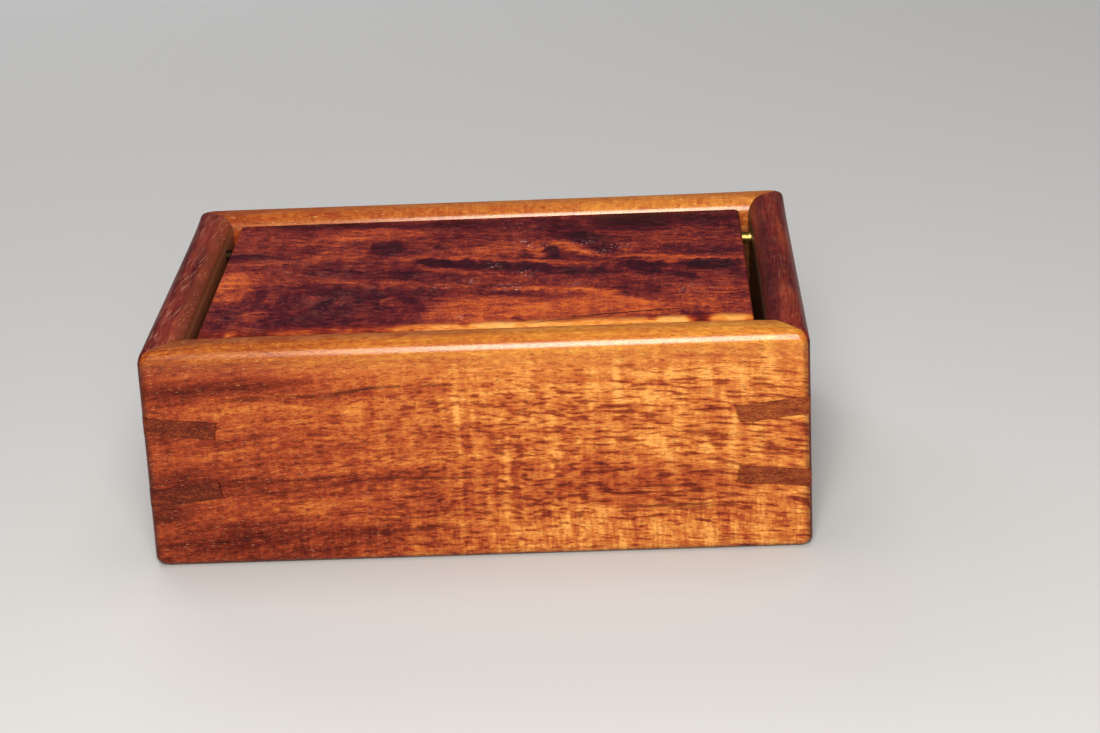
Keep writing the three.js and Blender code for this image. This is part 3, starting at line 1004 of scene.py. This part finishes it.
def end_wood():
    """Dark reddish wood, for the end walls."""
    s = Shader("dark_end_wood")
    x, y, z = s.mm.axes()
    inset, v = board(s, x, LENGTH / 2)
    place = s.join(y, inset, v)
    left = x.step(10, -10)
    rim = z.step(52, 60)
    outer = inset.step(6.5, 2) * (rim * left)
    near_lid = (inset.step(4, 8.5) * (rim - left)).clamped()

    # The grain, lighter or darker by side and by place on the rim
    sway = place.noise((50, 40, 24), 1)
    grain = s.join(y, inset, v + sway * 8 - 4)
    bands = grain.noise((60, 14, 5), 3, 0.6, shift=3)
    streaks = grain.noise((22, 5, 1.2), 3, 0.6, shift=11)
    fibre = grain.noise((4, 0.5, 0.3), 3, 0.65, shift=17)
    curl = place.noise((4, 14, 16), 1, shift=5)
    tone = bands * 0.7 + streaks * 0.5 + fibre * 0.4 + curl * 0.2
    tone = tone - left * 0.01 - outer * 0.14 - near_lid * 0.16
    colour = (tone - 0.35).ramp(END_STOPS)
    pore = place.noise((1.8, 0.24, 0.24), 1, shift=41).step(0.63, 0.7)
    colour = (pore * 0.5).mix(colour, END_PORE)

    # Fine pale streaks that slant across the rim
    leaning = inset + y * (rim * (0.06 - left * 0.21))
    slant = s.join(y, leaning, z + leaning * RIM_TURN)
    chalk = slant.noise((9, 0.32, 0.32), 0.5, shift=57).step(0.6, 0.74)
    chalk = chalk * place.noise((14, 5, 5), 1, shift=63).step(0.3, 0.52)
    colour = (chalk * (left * 0.45 - near_lid * 0.22 + 0.3)).mix(colour, END_CHALK)

    # The rim is painted lighter towards the lid on the left, painted light where its round turns from the
    # lamp, and its inner edge is painted darker and olive on both sides, painted light and shade at the
    # gap
    depth = inset + fibre
    rubbed = depth.step(WALL / MM - 4, WALL / MM - 1.2, 0, 0.4) * left
    colour = rubbed.mix(shaded_and_worn(s, colour, 0.06), END_RIM_PAINTED_LIGHT)
    # Painted light and shade: an olive inner edge, as the lit edge of the gap looks
    edge_painted_light = depth.step(WALL / MM - 0.3, WALL / MM + 0.4, 0, 0.7)
    colour = edge_painted_light.mix(colour, left.mix(END_EDGE_PAINTED_LIGHT_RIGHT, END_EDGE_PAINTED_LIGHT_LEFT))

    # The inner face is painted darker towards the top on the right, painted shade in the gap, and on the
    # left it is painted lighter near the top, painted light in the gap
    gap_shade = z.step(48, 53, 0, 0.8) * x.step(-20, 20)
    inner = gap_shade.mix(inner_face(bands, fibre), END_GAP_PAINTED_SHADE)
    # Painted light: the left inner face is lighter near its top
    inner_painted_light = z.step(54.3, 57.3, 0, 0.9) * left
    inner = inner_painted_light.mix(inner, END_INNER_PAINTED_LIGHT)
    face = inset.step(WALL / MM - 0.4, WALL / MM - 0.04)
    s.set("Base Color", face.mix(colour, inner))
    finish(s, fibre, pore)
    return s.material


KEY_STOPS = [(0.2, 0x300A08), (0.42, 0x56180D), (0.6, 0x743418), (0.85, 0x965222)]
KEY_PORE = tint(0x1E0804)


def key_wood():
    """Brown wood, for the keys. It is lighter on the right."""
    s = Shader("key_wood")
    x, _, z = s.mm.axes()
    side = x.step(-20, 20)
    low = z.step(36, 26)
    fibre = s.mm.noise((1.6, 1.6, 0.25), 3, 0.65, shift=7)
    clouds = s.mm.noise((7, 7, 1.6), 2, shift=4)
    speckle = s.mm.noise((0.7, 0.7, 0.3), 2, 0.6, shift=9)
    tone = fibre * 0.6 + clouds * 0.5 + speckle * (0.9 - side * 0.3) + side * 0.33 - low * 0.05
    colour = (tone - 0.6).ramp(KEY_STOPS)
    pore = s.mm.noise((0.9, 0.9, 0.22), 1, shift=41).step(0.62, 0.7)
    s.set("Base Color", (pore * 0.5).mix(colour, KEY_PORE))
    finish(s, fibre, pore, 0.45)
    return s.material


INNER_STOPS = [(0.2, 0x3E1E10), (0.45, 0x5E3218), (0.62, 0x764422), (0.85, 0x946034)]
INNER_PORE = tint(0x240E06)


def inner_wood():
    """Plain brown wood, for the bottom board and the strip."""
    s = Shader("inner_wood")
    x, y, z = s.mm.axes()
    sway = s.mm.noise((60, 30, 30), 1)
    grain = s.join(x, y + sway * 16, z)
    bands = grain.noise((90, 7, 7), 3, 0.6, shift=3)
    streaks = grain.noise((30, 1.4, 1.4), 3, 0.6, shift=11)
    fibre = grain.noise((5, 0.4, 0.4), 3, 0.65, shift=17)
    colour = (bands * 0.6 + streaks * 0.5 + fibre * 0.3 - 0.2).ramp(INNER_STOPS)
    pore = s.mm.noise((1.8, 0.25, 0.25), 1, shift=41).step(0.63, 0.7)
    s.set("Base Color", (pore * 0.5).mix(colour, INNER_PORE))
    finish(s, fibre, pore, 0.5)
    return s.material


BRASS_STOPS = [(0.35, 0x7C5E2C), (0.5, 0xB4924C), (0.65, 0xD2B46A)]
# painted shade for the left pin
BRASS_PAINTED_SHADE = tint(0x2A2014)
BRASS_SCORES = 0.02 * MM


def brass_metal():
    """Stained brass with turning marks, for the pins. The left pin is painted dark, painted shade where it
    lies in the gap, and is duller.
    """
    s = Shader("brass")
    turned = s.mm.noise((0.09, 2, 2), 2, 0.6)
    stain = s.mm.noise((1.1, 1.1, 1.1), 3, 0.6, shift=5)
    side = s.mm.axes()[0].step(-10, 10)
    s.set("Base Color", side.mix(BRASS_PAINTED_SHADE, stain.ramp(BRASS_STOPS)))
    s.set("Metallic", 1)
    s.set("Roughness", turned * 0.15 + stain * 0.3 - side * 0.2 + 0.4)
    s.bump(turned, BRASS_SCORES)
    return s.material


LONG_WOOD = long_wood()
END_WOOD = end_wood()
LID_WOOD = lid_wood()
KEY_WOOD = key_wood()
INNER_WOOD = inner_wood()
BRASS = brass_metal()


# Pieces

CORNERS = {"front_left": (-1, -1), "front_right": (1, -1), "back_right": (1, 1), "back_left": (-1, 1)}
KEY_TILTS = {"upper": KEY_TILT, "lower": -KEY_TILT}
# Each wall's node, its quarter turns from the front, half its length, how far out it is, slot and material
WALLS = [
    ("front_wall", 0, LENGTH / 2, DEPTH / 2, "long_wall_wood", LONG_WOOD),
    ("right_wall", 1, DEPTH / 2, LENGTH / 2, "end_wall_wood", END_WOOD),
    ("back_wall", 2, LENGTH / 2, DEPTH / 2, "long_wall_wood", LONG_WOOD),
    ("left_wall", 3, DEPTH / 2, LENGTH / 2, "end_wall_wood", END_WOOD),
]


def pin_holes():
    """The cutters for the pins' blind holes: a bar for each pin, a little longer and thicker."""
    _, y, z = (PIN_LOW + PIN_HIGH) / 2
    low = PIN_LOW.x - PIN_CHAMFER
    high = PIN_HIGH.x + PIN_CHAMFER
    radius = PIN_RADIUS + PIN_PLAY
    return [round_bar(a, b, y, z, radius) for a, b in ((low, high), (-high, -low))]


def make_walls():
    for node, turns, half, out, slot, material in WALLS:
        side = node.split("_")[0]
        cutters = []
        for corner, (side_x, side_y) in CORNERS.items():
            if side in corner:
                for level, height in KEY_HEIGHTS.items():
                    cutters.append(key_slab(corner_frame(side_x, side_y, height), KEY_TILTS[level]))
        if slot == "end_wall_wood":
            cutters += pin_holes()
        mesh = cut(wall_mesh(turns, half, out), cutters)
        make_piece(node, smooth(mesh), "case", material)


def make_keys():
    for corner, (side_x, side_y) in CORNERS.items():
        for level, height in KEY_HEIGHTS.items():
            mesh = key_mesh(corner_frame(side_x, side_y, height), KEY_TILTS[level])
            make_piece(f"key_{corner}_{level}", smooth(mesh), "case", KEY_WOOD)


def make_lid():
    mesh = slab_mesh(LID_LOW, LID_HIGH, LID_CORNER_ROUND, LID_EDGE_ROUND)
    make_piece("lid", smooth(cut(mesh, pin_holes())), "lid", LID_WOOD)


def make_small_parts():
    """The pins, the bottom board and the strip under the lid's front edge."""
    for side in ("left", "right"):
        node = side + "_hinge_pin"
        low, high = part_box(node)
        _, y, z = (low + high) / 2
        bar = round_bar(low.x, high.x, y, z, PIN_RADIUS)
        make_piece(node, smooth(bar), "case", BRASS)
    board = slab_mesh(BOARD_LOW, BOARD_HIGH, BOARD_EDGE_ROUND, BOARD_EDGE_ROUND)
    make_piece("bottom_board", smooth(board), "case", INNER_WOOD)
    make_piece("lid_rest_strip", smooth(strip_mesh()), "case", INNER_WOOD)


make_walls()
make_keys()
make_lid()
make_small_parts()


# Camera, floor and light

def make_camera():
    """The camera at the photograph's angle."""
    data = bpy.data.cameras.new("camera")
    data.sensor_fit = "HORIZONTAL"
    data.sensor_width = CAMERA_SENSOR
    data.lens = CAMERA_LENS
    data.clip_start = CAMERA_NEAR
    camera = add_object("camera", data)
    level = Matrix.Rotation(math.pi / 2, 4, "X")
    heading = Matrix.Rotation(-CAMERA_AZIMUTH, 4, "Z")
    dip = Matrix.Rotation(-CAMERA_DIP, 4, "X")
    roll = Matrix.Rotation(CAMERA_ROLL, 4, "Z")
    camera.matrix_world = Matrix.Translation(CAMERA_PLACE) @ heading @ level @ dip @ roll
    bpy.context.scene.camera = camera


def area_light(name, place, target, size, power):
    """A rectangular light that faces its target."""
    data = bpy.data.lights.new(name, "AREA")
    data.shape = "RECTANGLE"
    data.size, data.size_y = size
    data.energy = power
    light = add_object(name, data)
    light.location = place
    light.rotation_mode = "QUATERNION"
    light.rotation_quaternion = (target - place).to_track_quat("-Z", "Y")
    return light


def make_floor():
    points = [(x * FLOOR_HALF, y * FLOOR_HALF, 0) for x, y in ((-1, -1), (1, -1), (1, 1), (-1, 1))]
    floor = add_object("floor", mesh_of(points, [(0, 1, 2, 3)]))
    s = Shader("floor")
    s.set("Base Color", FLOOR_COLOUR)
    s.set("Roughness", FLOOR_ROUGHNESS)
    floor.data.materials.append(s.material)


def make_lights():
    world = bpy.data.worlds.new("studio")
    world.use_nodes = True
    background = world.node_tree.nodes["Background"]
    background.inputs["Color"].default_value = (1, 1, 1, 1)
    background.inputs["Strength"].default_value = SURROUNDINGS
    bpy.context.scene.world = world
    middle = Vector((0, 0, HEIGHT / 2))
    softbox = area_light("key_light", KEY_LIGHT, middle, KEY_LIGHT_SIZE, KEY_LIGHT_POWER)
    bright = area_light("bright_middle", BRIGHT_MIDDLE, middle, BRIGHT_MIDDLE_SIZE, BRIGHT_MIDDLE_POWER)
    for light in (softbox, bright):
        light.data.color = KEY_LIGHT_COLOUR
    above = area_light("top_light", TOP_LIGHT, middle, TOP_LIGHT_SIZE, TOP_LIGHT_POWER)
    behind = area_light("back_light", BACK_LIGHT, middle, BACK_LIGHT_SIZE, BACK_LIGHT_POWER)
    for light in (above, behind):
        light.visible_glossy = False  # neither shows as a highlight


make_camera()
make_floor()
make_lights()
bpy.context.scene.view_settings.view_transform = "Standard"
